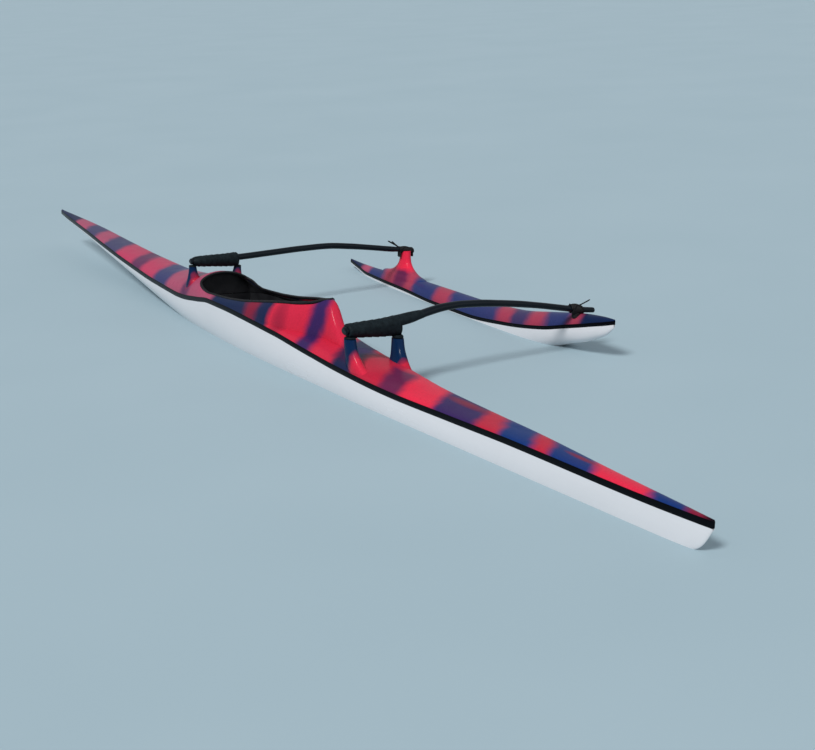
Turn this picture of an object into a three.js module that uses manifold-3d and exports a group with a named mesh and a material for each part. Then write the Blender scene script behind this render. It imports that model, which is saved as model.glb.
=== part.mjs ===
// Single-seat outrigger canoe: a slim rudderless hull with a raised cockpit hood, one float on its
// port side, and two booms that rest on flared posts on the deck. Millimetres. X runs to the bow,
// Y to port, where the float is, and Z up. The origin is on the waterline at the hull's middle.
import * as THREE from 'three';
import { mergeVertices } from 'three/addons/utils/BufferGeometryUtils.js';
import Module from 'manifold-3d';

const wasm = await Module();
wasm.setup();

// Driving dimensions
const HULL_LENGTH = 6490;
const HALF_LENGTH = HULL_LENGTH / 2;
const HEEL = THREE.MathUtils.degToRad(5);
const BAND_HEIGHT = 24;
const BAND_PROUD = 1.5;
const GAP = 0.3;
const SECTION_POWER = 2.3;
const WALL = 10;
const DECK_WALL = 8;
const TUB_WALL = 5;

const FRONT_BOOM_X = 1092;
const AFT_BOOM_X = -615;
const COCKPIT_AFT = -535;
const COCKPIT_FRONT = 905;
const WELL_AFT = -515;
const WELL_FRONT = 855;

const FLOAT_Y = 1080;
const FLOAT_TOE = -0.029;
const FLOAT_BOW = 252;
const FLOAT_STERN = -2380;
const FLOAT_BAND_HEIGHT = 18;
const PYLON_TOP = 304;

const SEAT_TOP = 60;
const PAD_THICKNESS = 20;
const ACROSS = 400;

// Half width of the hull at the seam
const HALF_BEAM = [
  { x: -HALF_LENGTH, y: 4 },
  { x: -3040, y: 25 },
  { x: -2600, y: 58 },
  { x: -2050, y: 91 },
  { x: -1600, y: 113 },
  { x: -1090, y: 140 },
  { x: -615, y: 165 },
  { x: -150, y: 179 },
  { x: 250, y: 174 },
  { x: 550, y: 161 },
  { x: 850, y: 142 },
  { x: FRONT_BOOM_X, y: 133 },
  { x: 1555, y: 106 },
  { x: 2155, y: 74 },
  { x: 2655, y: 45 },
  { x: 2950, y: 28 },
  { x: 3110, y: 17 },
  { x: 3200, y: 9 },
  { x: HALF_LENGTH, y: 4 },
];

// Height of the seam between hull and deck, along the boat
const SEAM = [
  { x: -HALF_LENGTH, z: 226 },
  { x: -2613, z: 198 },
  { x: -2104, z: 165 },
  { x: -1655, z: 138 },
  { x: -1134, z: 118 },
  { x: -800, z: 116 },
  { x: -677, z: 120 },
  { x: -450, z: 145 },
  { x: -277, z: 166 },
  { x: -73, z: 168 },
  { x: 114, z: 164 },
  { x: 455, z: 150 },
  { x: 800, z: 120 },
  { x: 1014, z: 106 },
  { x: 1497, z: 90 },
  { x: 1887, z: 95 },
  { x: 2259, z: 100 },
  { x: 2839, z: 97 },
  { x: HALF_LENGTH, z: 101 },
];

// Height of the keel line: strong rocker aft, a nearly plumb stem with a round forefoot
const KEEL = [
  { x: -HALF_LENGTH, z: 210 },
  { x: -3000, z: 190 },
  { x: -2600, z: 160 },
  { x: -2200, z: 120 },
  { x: -1800, z: 74 },
  { x: -1400, z: 24 },
  { x: -1000, z: -26 },
  { x: -600, z: -68 },
  { x: -200, z: -94 },
  { x: 200, z: -105 },
  { x: 800, z: -104 },
  { x: 1500, z: -92 },
  { x: 2200, z: -80 },
  { x: 2700, z: -64 },
  { x: 3020, z: -48 },
  { x: 3090, z: -34 },
  { x: 3150, z: -12 },
  { x: 3196, z: 14 },
  { x: 3220, z: 42 },
  { x: HALF_LENGTH, z: 82 },
];

// Height of the deck's centreline, with the raised cockpit hood from -330 to the surround's front
const CREST = [
  { x: -HALF_LENGTH, z: 244 },
  { x: -3000, z: 235 },
  { x: -2600, z: 221 },
  { x: -2100, z: 193 },
  { x: -1655, z: 180 },
  { x: -1270, z: 176 },
  { x: -1000, z: 191 },
  { x: -850, z: 205 },
  { x: -700, z: 226 },
  { x: -600, z: 247 },
  { x: COCKPIT_AFT, z: 265 },
  { x: -470, z: 263 },
  { x: -400, z: 230 },
  { x: -330, z: 212 },
  { x: -150, z: 222 },
  { x: 50, z: 250 },
  { x: 250, z: 285 },
  { x: 430, z: 312 },
  { x: 600, z: 331 },
  { x: 680, z: 337 },
  { x: 712, z: 332 },
  { x: 742, z: 310 },
  { x: 770, z: 272 },
  { x: 800, z: 236 },
  { x: 840, z: 203 },
  { x: 880, z: 173 },
  { x: COCKPIT_FRONT, z: 158 },
  { x: 1000, z: 152 },
  { x: FRONT_BOOM_X, z: 152 },
  { x: 1200, z: 147 },
  { x: 1320, z: 139 },
  { x: 1600, z: 125 },
  { x: 2000, z: 122 },
  { x: 2300, z: 125 },
  { x: 2700, z: 121 },
  { x: HALF_LENGTH, z: 118 },
];

// Height of the deck's centreline under the hood, and the hood's own half width on top of it
const HOOD_FOOT = [
  { x: COCKPIT_AFT, z: 265 },
  { x: -400, z: 222 },
  { x: -150, z: 204 },
  { x: 250, z: 198 },
  { x: 640, z: 174 },
  { x: 800, z: 164 },
  { x: COCKPIT_FRONT, z: 158 },
];
const HOOD_HALF = [
  { x: COCKPIT_AFT, y: 165 },
  { x: -150, y: 177 },
  { x: 100, y: 176 },
  { x: 300, y: 169 },
  { x: 430, y: 150 },
  { x: 520, y: 124 },
  { x: 600, y: 97 },
  { x: 640, y: 78 },
  { x: 680, y: 58 },
  { x: 720, y: 44 },
  { x: 800, y: 37 },
  { x: COCKPIT_FRONT, y: 30 },
];
const HOOD_POWER = 3;

const HULL_STATIONS = [
  -HALF_LENGTH, -3100, -2900, -2600, -2300, -2000, -1700, -1400, -1140, -900, -760, -660, -580,
  COCKPIT_AFT, -450, -375, -245, -105, 55, 215, 385, 515, 600, 655, 690, 715, 740, 765, 795, 835,
  870, COCKPIT_FRONT, FRONT_BOOM_X, 1200, 1350, 1650, 2000, 2300, 2600, 2850, 3000, 3080, 3140, 3180, 3210,
  3230, HALF_LENGTH,
];

// Half outline of the cockpit opening in plan, from its aft end to its front end
const OPENING = [
  { x: -507, y: 0 },
  { x: -505, y: 90 },
  { x: -480, y: 138 },
  { x: -395, y: 153 },
  { x: -145, y: 154 },
  { x: 105, y: 147 },
  { x: 360, y: 123 },
  { x: 540, y: 86 },
  { x: 650, y: 46 },
  { x: 700, y: 0 },
];

// The float's sections, along its own length from the front boom
const FLOAT_SECTIONS = [
  { x: FLOAT_STERN, half: 4, keel: 126, seam: 143, crest: 155 },
  { x: -2250, half: 20, keel: 104, seam: 129, crest: 149 },
  { x: -2100, half: 38, keel: 74, seam: 114, crest: 148 },
  { x: -1850, half: 58, keel: 46, seam: 113, crest: 156 },
  { x: -1600, half: 68, keel: 21, seam: 111, crest: 166 },
  { x: -1240, half: 77, keel: -10, seam: 101, crest: 170 },
  { x: -900, half: 78, keel: -18, seam: 101, crest: 173 },
  { x: -524, half: 77, keel: 2, seam: 127, crest: 193 },
  { x: -206, half: 71, keel: 72, seam: 170, crest: 240 },
  { x: -50, half: 58, keel: 122, seam: 205, crest: 266 },
  { x: 60, half: 44, keel: 152, seam: 230, crest: 280 },
  { x: 135, half: 31, keel: 182, seam: 248, crest: 287 },
  { x: 200, half: 17, keel: 212, seam: 263, crest: 291 },
  { x: FLOAT_BOW, half: 4, keel: 252, seam: 277, crest: 292 },
];

const BOOM_START = -138;
const FRONT_BOOM_END = 1146;
const AFT_BOOM_END = 1180;
const WRAP_HALF_LENGTH = 124;
const FRONT_WRAP_THICKNESS = 12;
const AFT_WRAP_THICKNESS = 11;
const FRONT_WRAP_SAG = 29;
const AFT_WRAP_SAG = 20;
const LASHING_THICKNESS = 6;

// Centre lines of the booms, out from the hull: y, height and half sizes of the oval tube
const FRONT_BOOM = [
  { y: BOOM_START, z: 280, halfWidth: 26, halfHeight: 18 },
  { y: -WRAP_HALF_LENGTH, z: 281, halfWidth: 26, halfHeight: 18 },
  { y: -60, z: 285, halfWidth: 26, halfHeight: 18 },
  { y: 30, z: 292, halfWidth: 26, halfHeight: 18 },
  { y: WRAP_HALF_LENGTH, z: 303, halfWidth: 26, halfHeight: 18 },
  { y: 178, z: 313, halfWidth: 25, halfHeight: 18 },
  { y: 227, z: 326, halfWidth: 24, halfHeight: 17 },
  { y: 276, z: 338, halfWidth: 24, halfHeight: 17 },
  { y: 325, z: 348, halfWidth: 23, halfHeight: 17 },
  { y: 375, z: 354, halfWidth: 23, halfHeight: 16 },
  { y: 430, z: 357, halfWidth: 22, halfHeight: 16 },
  { y: 527, z: 355, halfWidth: 21, halfHeight: 16 },
  { y: 631, z: 348, halfWidth: 20, halfHeight: 15 },
  { y: 736, z: 338, halfWidth: 19, halfHeight: 15 },
  { y: 846, z: 324, halfWidth: 19, halfHeight: 14 },
  { y: 956, z: 307, halfWidth: 18, halfHeight: 14 },
  { y: 1014, z: 298, halfWidth: 17, halfHeight: 14 },
  { y: 1044, z: 294, halfWidth: 17, halfHeight: 14 },
  { y: 1078, z: 290, halfWidth: 17, halfHeight: 13 },
  { y: FRONT_BOOM_END, z: 284, halfWidth: 16, halfHeight: 12 },
];
const AFT_BOOM = [
  { y: BOOM_START, z: 308, halfWidth: 21, halfHeight: 15 },
  { y: -WRAP_HALF_LENGTH, z: 308, halfWidth: 21, halfHeight: 15 },
  { y: WRAP_HALF_LENGTH, z: 318, halfWidth: 21, halfHeight: 16 },
  { y: 300, z: 331, halfWidth: 20, halfHeight: 16 },
  { y: 500, z: 346, halfWidth: 19, halfHeight: 16 },
  { y: 650, z: 352, halfWidth: 18, halfHeight: 16 },
  { y: 783, z: 344, halfWidth: 18, halfHeight: 16 },
  { y: 906, z: 332, halfWidth: 17, halfHeight: 15 },
  { y: 1031, z: 318, halfWidth: 17, halfHeight: 15 },
  { y: 1086, z: 313, halfWidth: 16, halfHeight: 13 },
  { y: 1130, z: 309, halfWidth: 15, halfHeight: 12 },
  { y: 1172, z: 305, halfWidth: 15, halfHeight: 12 },
  { y: AFT_BOOM_END, z: 304, halfWidth: 14, halfHeight: 11 },
];

// Smooth curve through a table that never overshoots its points
function curve(table, across, along = 'x') {
  const xs = table.map((row) => row[along]);
  const zs = table.map((row) => row[across]);
  const steps = xs.slice(1).map((x, i) => (zs[i + 1] - zs[i]) / (x - xs[i]));
  const slopes = xs.map((_, i) => {
    if (i === 0) return steps[0];
    if (i === xs.length - 1) return steps[i - 1];
    if (steps[i - 1] * steps[i] <= 0) return 0;
    return (2 * steps[i - 1] * steps[i]) / (steps[i - 1] + steps[i]);
  });
  return (x) => {
    if (x <= xs[0]) return zs[0];
    if (x >= xs[xs.length - 1]) return zs[xs.length - 1];
    const i = xs.findIndex((value, k) => x < xs[k + 1]);
    const span = xs[i + 1] - xs[i];
    const t = (x - xs[i]) / span;
    const rise = zs[i + 1] - zs[i];
    const a = slopes[i] * span - rise;
    const b = rise - slopes[i + 1] * span;
    return zs[i] + t * rise + t * (1 - t) * (a * (1 - t) + b * t);
  };
}

// A closed body through rings of points, each ring with the same count, both ends capped
function loft(rings) {
  const count = rings[0].length;
  const positions = rings.flat(2);
  const indices = [];
  for (let i = 0; i < rings.length - 1; i += 1) {
    for (let j = 0; j < count; j += 1) {
      const a = i * count + j;
      const b = i * count + ((j + 1) % count);
      indices.push(a, a + count, b, b, a + count, b + count);
    }
  }
  const cap = (start, forward) => {
    const ring = rings[start / count];
    const centre = [0, 1, 2].map((k) => ring.reduce((sum, p) => sum + p[k], 0) / count);
    const middle = positions.length / 3;
    positions.push(...centre);
    for (let j = 0; j < count; j += 1) {
      const a = start + j;
      const b = start + ((j + 1) % count);
      indices.push(...(forward ? [middle, a, b] : [middle, b, a]));
    }
  };
  cap(0, true);
  cap((rings.length - 1) * count, false);
  const geometry = new THREE.BufferGeometry();
  geometry.setAttribute('position', new THREE.Float32BufferAttribute(positions, 3));
  geometry.setIndex(indices);
  return facingOut(geometry);
}

// Turns a closed body's triangles over where they face in
function facingOut(geometry) {
  const p = geometry.attributes.position;
  const index = geometry.index.array;
  const a = new THREE.Vector3();
  const b = new THREE.Vector3();
  const c = new THREE.Vector3();
  let volume = 0;
  for (let i = 0; i < index.length; i += 3) {
    a.fromBufferAttribute(p, index[i]);
    b.fromBufferAttribute(p, index[i + 1]);
    c.fromBufferAttribute(p, index[i + 2]);
    volume += a.dot(b.cross(c));
  }
  if (volume < 0) {
    for (let i = 0; i < index.length; i += 3) {
      [index[i + 1], index[i + 2]] = [index[i + 2], index[i + 1]];
    }
  }
  return geometry;
}

function toSolid(geometry) {
  const bare = geometry.clone();
  bare.deleteAttribute('normal');
  bare.deleteAttribute('uv');
  const merged = mergeVertices(bare, 1e-4);
  return new wasm.Manifold(new wasm.Mesh({
    numProp: 3,
    vertProperties: new Float32Array(merged.attributes.position.array),
    triVerts: new Uint32Array(merged.index.array),
  }));
}

function toGeometry(solid) {
  const mesh = solid.getMesh();
  const geometry = new THREE.BufferGeometry();
  geometry.setAttribute('position', new THREE.BufferAttribute(mesh.vertProperties, 3));
  geometry.setIndex(new THREE.BufferAttribute(mesh.triVerts, 1));
  return geometry;
}

function cut(geometry, ...tools) {
  return toGeometry(tools.reduce((solid, tool) => solid.subtract(toSolid(tool)), toSolid(geometry)));
}

function common(first, second) {
  return toGeometry(toSolid(first).intersect(toSolid(second)));
}

function box(x0, x1, y0, y1, z0, z1) {
  const geometry = new THREE.BoxGeometry(x1 - x0, y1 - y0, z1 - z0);
  geometry.translate((x0 + x1) / 2, (y0 + y1) / 2, (z0 + z1) / 2);
  return geometry;
}

const seamAt = curve(SEAM, 'z');
const keelAt = curve(KEEL, 'z');
const crestAt = curve(CREST, 'z');
const halfBeamAt = curve(HALF_BEAM, 'y');
const hoodFootAt = curve(HOOD_FOOT, 'z');
const hoodHalfAt = curve(HOOD_HALF, 'y');

const bandTopAt = (x) => seamAt(x) + BAND_HEIGHT / 2;
const bandBottomAt = (x) => seamAt(x) - BAND_HEIGHT / 2;

// Height of the cockpit surround: a low crowned deck with the narrower hood on top
function surroundHeight(x, y, inset = 0) {
  const base = bandTopAt(x);
  const foot = Math.min(hoodFootAt(x), crestAt(x));
  const share = Math.min(1, Math.abs(y) / (halfBeamAt(x) - inset));
  const hoodShare = Math.min(1, Math.abs(y) / (hoodHalfAt(x) - inset));
  const hood = (crestAt(x) - foot) * Math.sqrt(1 - hoodShare ** HOOD_POWER);
  return base + (foot - base) * Math.sqrt(1 - share * share) + hood - inset;
}

function stationsBetween(from, to) {
  return [from, ...HULL_STATIONS.filter((x) => x > from + 1 && x < to - 1), to];
}

// Round bottom from the port edge over the keel to the starboard edge, closed by its flat top
function bottomRing(x, half, keel, top, sides = 18) {
  const ring = [];
  for (let i = 0; i <= sides; i += 1) {
    const angle = (Math.PI * i) / sides;
    const across = Math.sign(Math.cos(angle)) * Math.abs(Math.cos(angle)) ** (2 / SECTION_POWER);
    const down = Math.sin(angle) ** (2 / SECTION_POWER);
    ring.push([x, half * across, top - (top - keel) * down]);
  }
  return ring;
}

// Crowned top from the starboard edge to the port edge, closed by its flat base
function crownRing(x, half, base, crest, sides = 16) {
  const ring = [];
  for (let i = 0; i <= sides; i += 1) {
    const angle = (Math.PI * i) / sides;
    ring.push([x, -half * Math.cos(angle), base + (crest - base) * Math.sin(angle)]);
  }
  return ring;
}

function slabRing(x, half, base, top) {
  return [[x, -half, base], [x, half, base], [x, half, top], [x, -half, top]];
}

// The round-bottomed well in the hull, smaller all round by the inset and open through the deck
function wellLoft(inset, from, to) {
  return loft(stationsBetween(from, to).map((x) => (
    bottomRing(x, halfBeamAt(x) - inset, keelAt(x) + inset, seamAt(x) + 40)
  )));
}

function hullBottom() {
  const body = loft(HULL_STATIONS.map((x) => (
    bottomRing(x, halfBeamAt(x), keelAt(x), bandBottomAt(x) - GAP / 2)
  )));
  return cut(body, wellLoft(WALL, WELL_AFT, WELL_FRONT));
}

function seamBand() {
  const band = loft(HULL_STATIONS.map((x) => (
    slabRing(x, halfBeamAt(x) + BAND_PROUD, bandBottomAt(x) + GAP / 2, bandTopAt(x) - GAP / 2)
  )));
  return cut(band, wellLoft(WALL, WELL_AFT, WELL_FRONT));
}

function deckLoft(from, to, grow = 0) {
  return loft(stationsBetween(from, to).map((x) => (
    crownRing(x, halfBeamAt(x) + grow, bandTopAt(x) + GAP / 2 - grow, crestAt(x) + grow)
  )));
}

function openingPoints(inset = 0, count = 56) {
  const half = OPENING.slice(1, -1).map((row) => new THREE.Vector3(row.x, -row.y, 0));
  const other = half.map((p) => new THREE.Vector3(p.x, -p.y, 0)).reverse();
  const first = new THREE.Vector3(OPENING[0].x, 0, 0);
  const last = new THREE.Vector3(OPENING[OPENING.length - 1].x, 0, 0);
  const outline = new THREE.CatmullRomCurve3([first, ...half, last, ...other], true, 'centripetal');
  return Array.from({ length: count }, (_, i) => {
    const point = outline.getPointAt(i / count);
    const tangent = outline.getTangentAt(i / count);
    return [point.x - tangent.y * inset, point.y + tangent.x * inset];
  });
}

function cockpitSurround() {
  const from = COCKPIT_AFT + GAP;
  const to = COCKPIT_FRONT - GAP;
  const stations = stationsBetween(from, to);
  const sides = 28;
  const shell = (inset, ends) => loft(stations.map((x, i) => {
    const last = i === stations.length - 1;
    const shift = i === 0 ? ends : last ? -ends : 0;
    const base = bandTopAt(x) + (inset ? -20 : GAP / 2);
    const half = halfBeamAt(x) - inset;
    return Array.from({ length: sides + 1 }, (_, k) => {
      const y = -half * Math.cos((Math.PI * k) / sides);
      const edge = k === 0 || k === sides;
      return [x + shift, y, edge ? base : Math.max(base, surroundHeight(x, y, inset))];
    });
  }));
  const outline = new THREE.Shape(openingPoints().map(([x, y]) => new THREE.Vector2(x, y)));
  const hole = new THREE.ExtrudeGeometry(outline, { depth: 400, bevelEnabled: false });
  return cut(shell(0, 0), shell(DECK_WALL, 12), hole);
}

// A round bead just inside the edge of the cockpit opening
function cockpitTrim() {
  const radius = 6;
  const sides = 8;
  const path = openingPoints(radius + GAP).map(([x, y]) => (
    new THREE.Vector3(x, y, surroundHeight(x, y) - 2)
  ));
  const count = path.length;
  const positions = [];
  const indices = [];
  path.forEach((centre, i) => {
    const ahead = path[(i + 1) % count];
    const behind = path[(i + count - 1) % count];
    const tangent = ahead.clone().sub(behind).normalize();
    const side = new THREE.Vector3(0, 0, 1).cross(tangent).normalize();
    const up = tangent.clone().cross(side);
    for (let k = 0; k < sides; k += 1) {
      const angle = (2 * Math.PI * k) / sides;
      const point = centre.clone()
        .addScaledVector(side, radius * Math.cos(angle))
        .addScaledVector(up, radius * Math.sin(angle));
      positions.push(point.x, point.y, point.z);
      const next = (i + 1) % count;
      const a = i * sides + k;
      const b = i * sides + ((k + 1) % sides);
      const c = next * sides + k;
      const d = next * sides + ((k + 1) % sides);
      indices.push(a, c, b, b, c, d);
    }
  });
  const geometry = new THREE.BufferGeometry();
  geometry.setAttribute('position', new THREE.Float32BufferAttribute(positions, 3));
  geometry.setIndex(indices);
  return facingOut(geometry);
}

function cockpitTub() {
  const outer = wellLoft(WALL + GAP, WELL_AFT + GAP, WELL_FRONT - GAP);
  const inner = wellLoft(WALL + TUB_WALL, WELL_AFT + TUB_WALL, WELL_FRONT - TUB_WALL);
  const underDeck = loft(stationsBetween(WELL_AFT - 10, WELL_FRONT + 10).map((x) => (
    slabRing(x, ACROSS / 2, -150, bandTopAt(x) - 2)
  )));
  return cut(common(outer, underDeck), inner);
}

function wellInside() {
  const inset = WALL + TUB_WALL + GAP;
  return wellLoft(inset, WELL_AFT + TUB_WALL + GAP, WELL_FRONT - TUB_WALL - GAP);
}

// The moulded seat fills the well below its flat top, with a low back and a sloping front
function seat() {
  const side = new THREE.Shape([
    [-495, -150], [-55, -150], [-65, -40], [-115, SEAT_TOP], [-437, SEAT_TOP], [-455, 92], [-495, 95],
  ].map(([x, z]) => new THREE.Vector2(x, z)));
  const block = new THREE.ExtrudeGeometry(side, { depth: ACROSS, bevelEnabled: false });
  block.rotateX(Math.PI / 2);
  block.translate(0, ACROSS / 2, 0);
  return common(wellInside(), block);
}

function seatPad() {
  const shape = new THREE.Shape();
  const [x0, x1, half, radius] = [-433, -129, 104, 36];
  shape.moveTo(x0 + radius, -half);
  shape.lineTo(x1 - radius, -half);
  shape.absarc(x1 - radius, -half + radius, radius, -Math.PI / 2, 0);
  shape.absarc(x1 - radius, half - radius, radius, 0, Math.PI / 2);
  shape.absarc(x0 + radius, half - radius, radius, Math.PI / 2, Math.PI);
  shape.absarc(x0 + radius, -half + radius, radius, Math.PI, 1.5 * Math.PI);
  const geometry = new THREE.ExtrudeGeometry(shape, {
    depth: PAD_THICKNESS, bevelEnabled: false, curveSegments: 5,
  });
  geometry.translate(0, 0, SEAT_TOP + GAP);
  return geometry;
}

function footRest() {
  return common(wellInside(), box(691, 705, -ACROSS / 2, ACROSS / 2, -120, 60));
}

// A flared upright of oval rings, stretched to a given top: height, centre, half length, half width
function upright(rings, top, side = 1, sides = 16) {
  const low = rings[0].z;
  const stretch = (top - low) / (rings[rings.length - 1].z - low);
  return loft(rings.map(({ z, x = 0, y = 0, rx, ry }) => {
    const ring = [];
    for (let i = 0; i < sides; i += 1) {
      const angle = (2 * Math.PI * i) / sides;
      ring.push([x + rx * Math.cos(angle), side * y + ry * Math.sin(angle), low + (z - low) * stretch]);
    }
    return ring;
  }));
}

const FRONT_POST_RINGS = [
  { z: 118, x: 68, y: 97, rx: 92, ry: 32 },
  { z: 140, x: 49, y: 104, rx: 71, ry: 29 },
  { z: 165, x: 34, y: 109, rx: 54, ry: 27 },
  { z: 200, x: 20, y: 112, rx: 40, ry: 25 },
  { z: 240, x: 12, y: 114, rx: 32, ry: 24 },
];
const AFT_POST_RINGS = [
  { z: 160, y: 108, rx: 72, ry: 47 },
  { z: 188, y: 112, rx: 54, ry: 42 },
  { z: 218, y: 118, rx: 33, ry: 30 },
  { z: 244, y: 122, rx: 23, ry: 22 },
  { z: 264, y: 124, rx: 19, ry: 19 },
];
const PYLON_RINGS = [
  { z: 130, rx: 260, ry: 62 },
  { z: 166, rx: 235, ry: 52 },
  { z: 178, rx: 165, ry: 45 },
  { z: 198, rx: 105, ry: 39 },
  { z: 224, rx: 64, ry: 32 },
  { z: 250, rx: 46, ry: 28 },
  { z: PYLON_TOP, rx: 36, ry: 25 },
];

// Rings of the oval tube square to its centre line, grown by a given amount and, underneath, by a
// sag that increases to port
function boomLoft(table, x, grow, from, to, sag = 0) {
  const sides = 12;
  const zAt = curve(table, 'z', 'y');
  const widthAt = curve(table, 'halfWidth', 'y');
  const heightAt = curve(table, 'halfHeight', 'y');
  const ys = [from, ...table.map((row) => row.y).filter((y) => y > from + 4 && y < to - 4), to];
  return loft(ys.map((y) => {
    const slope = Math.atan2(zAt(y + 1) - zAt(y - 1), 2);
    const low = (sag * (y + WRAP_HALF_LENGTH)) / (2 * WRAP_HALF_LENGTH);
    const ring = [];
    for (let i = 0; i < sides; i += 1) {
      const angle = (2 * Math.PI * i) / sides;
      const reach = heightAt(y) + grow + (angle > Math.PI ? low : 0);
      const rise = reach * Math.sin(angle);
      ring.push([
        x + (widthAt(y) + grow) * Math.cos(angle),
        y - rise * Math.sin(slope),
        zAt(y) + rise * Math.cos(slope),
      ]);
    }
    return ring;
  }));
}

function sleeve(table, x, thickness, from, to, sag = 0) {
  const outer = boomLoft(table, x, GAP + thickness, from, to, sag);
  const inner = boomLoft(table, x, GAP, from - 0.5, to + 0.5);
  return cut(outer, inner);
}

const floatMatrix = new THREE.Matrix4()
  .makeTranslation(FRONT_BOOM_X, FLOAT_Y, 0)
  .multiply(new THREE.Matrix4().makeRotationZ(FLOAT_TOE));
const floatInverse = floatMatrix.clone().invert();

const floatHalf = FLOAT_BAND_HEIGHT / 2;
function floatHull() {
  return loft(FLOAT_SECTIONS.map(({ x, half, keel, seam }) => (
    bottomRing(x, half, keel, seam - floatHalf - GAP / 2, 14)
  )));
}

function floatBand() {
  return loft(FLOAT_SECTIONS.map(({ x, half, seam }) => (
    slabRing(x, half + 1, seam - floatHalf + GAP / 2, seam + floatHalf - GAP / 2)
  )));
}

function floatDeck(grow = 0) {
  return loft(FLOAT_SECTIONS.map(({ x, half, seam, crest }) => (
    crownRing(x, half + grow, seam + floatHalf + GAP / 2 - grow, crest + grow, 14)
  )));
}

const MATERIALS = {
  white: { color: 0xe4e6e6, roughness: 0.3, metalness: 0 },
  paint: { color: 0xb02038, roughness: 0.35, metalness: 0 },
  black: { color: 0x0c0d10, roughness: 0.4, metalness: 0 },
  rubber: { color: 0x141414, roughness: 0.9, metalness: 0 },
  foam: { color: 0x26282b, roughness: 0.95, metalness: 0 },
  cord: { color: 0x101010, roughness: 0.8, metalness: 0 },
  tub: { color: 0x1a1b1e, roughness: 0.6, metalness: 0 },
};

// Everything is built upright, then heeled to port to the attitude in which the boat floats
const canoe = new THREE.Group();
const boat = new THREE.Group();
boat.rotation.x = -HEEL;
canoe.add(boat);
const floatGroup = new THREE.Group();
floatGroup.applyMatrix4(floatMatrix);
boat.add(floatGroup);

function add(parent, name, geometry, finish) {
  const mesh = new THREE.Mesh(geometry, new THREE.MeshStandardMaterial(MATERIALS[finish]));
  mesh.name = name;
  parent.add(mesh);
}

add(boat, 'hull_bottom', hullBottom(), 'white');
add(boat, 'hull_seam_band', seamBand(), 'black');
add(boat, 'fore_deck', deckLoft(COCKPIT_FRONT, HALF_LENGTH), 'paint');
add(boat, 'aft_deck', deckLoft(-HALF_LENGTH, COCKPIT_AFT), 'paint');
add(boat, 'cockpit_surround', cockpitSurround(), 'paint');
add(boat, 'cockpit_trim', cockpitTrim(), 'black');
add(boat, 'cockpit_tub', cockpitTub(), 'tub');
add(boat, 'seat', seat(), 'tub');
add(boat, 'seat_pad', seatPad(), 'foam');
add(boat, 'foot_rest', footRest(), 'black');

// Each boom with its wrap, its two posts and their saddles
const BOOM_SETS = [
  {
    name: 'front', x: FRONT_BOOM_X, table: FRONT_BOOM, wrap: FRONT_WRAP_THICKNESS, sag: FRONT_WRAP_SAG,
    rings: FRONT_POST_RINGS, deck: [COCKPIT_FRONT, HALF_LENGTH], saddle: 26, end: FRONT_BOOM_END,
    tops: { port: 235, starboard: 248 },
  },
  {
    name: 'aft', x: AFT_BOOM_X, table: AFT_BOOM, wrap: AFT_WRAP_THICKNESS, sag: AFT_WRAP_SAG,
    rings: AFT_POST_RINGS, deck: [-HALF_LENGTH, COCKPIT_AFT], saddle: 21, end: AFT_BOOM_END,
    tops: { port: 268, starboard: 280 },
  },
];
const SADDLE_HEIGHT = 30;
for (const { name, x, table, wrap, sag, rings, deck, saddle, end, tops } of BOOM_SETS) {
  const [from, to] = [-WRAP_HALF_LENGTH, WRAP_HALF_LENGTH];
  add(boat, `${name}_boom`, boomLoft(table, x, 0, BOOM_START, end), 'black');
  add(boat, `${name}_boom_wrap`, sleeve(table, x, wrap, from, to, sag), 'rubber');
  const deckTool = deckLoft(...deck, GAP);
  const wrapTool = boomLoft(table, x, wrap + 2 * GAP, from - 30, to + 30, sag);
  const { x: shift = 0, y: reach } = rings[rings.length - 1];
  for (const [side, sign] of [['port', 1], ['starboard', -1]]) {
    const post = upright(rings, tops[side], sign);
    post.translate(x, 0, 0);
    add(boat, `${name}_post_${side}`, cut(post, deckTool), 'paint');
    const block = new THREE.CylinderGeometry(saddle, saddle, SADDLE_HEIGHT, 16);
    block.rotateX(Math.PI / 2);
    block.translate(x + shift, sign * reach, tops[side] + GAP + SADDLE_HEIGHT / 2);
    add(boat, `${name}_saddle_${side}`, cut(block, wrapTool), 'rubber');
  }
}

add(floatGroup, 'float_hull', floatHull(), 'white');
add(floatGroup, 'float_seam_band', floatBand(), 'black');
add(floatGroup, 'float_deck', floatDeck(), 'paint');

// The front boom rests on a round chock on the float's deck
function frontChock() {
  const [radius, base, top] = [19, 240, 292];
  const chock = new THREE.CylinderGeometry(radius, radius, top - base, 16);
  chock.rotateX(Math.PI / 2);
  chock.translate(0, -32, (base + top) / 2);
  return chock;
}

// The aft boom rests on a yoke whose legs taper down on both sides of the pylon's top
function aftChock() {
  const half = 45;
  const side = new THREE.Shape([
    [-9, 272], [9, 272], [26, 298], [26, 311], [-26, 311], [-26, 298],
  ].map(([x, z]) => new THREE.Vector2(x, z)));
  const yoke = new THREE.ExtrudeGeometry(side, { depth: 2 * half, bevelEnabled: false });
  yoke.rotateX(Math.PI / 2);
  yoke.translate(pylonX, half, 0);
  const slot = box(-27, 27, -32, 32, 271, PYLON_TOP + GAP);
  slot.translate(pylonX, 0, 0);
  return cut(yoke, slot);
}

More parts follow.
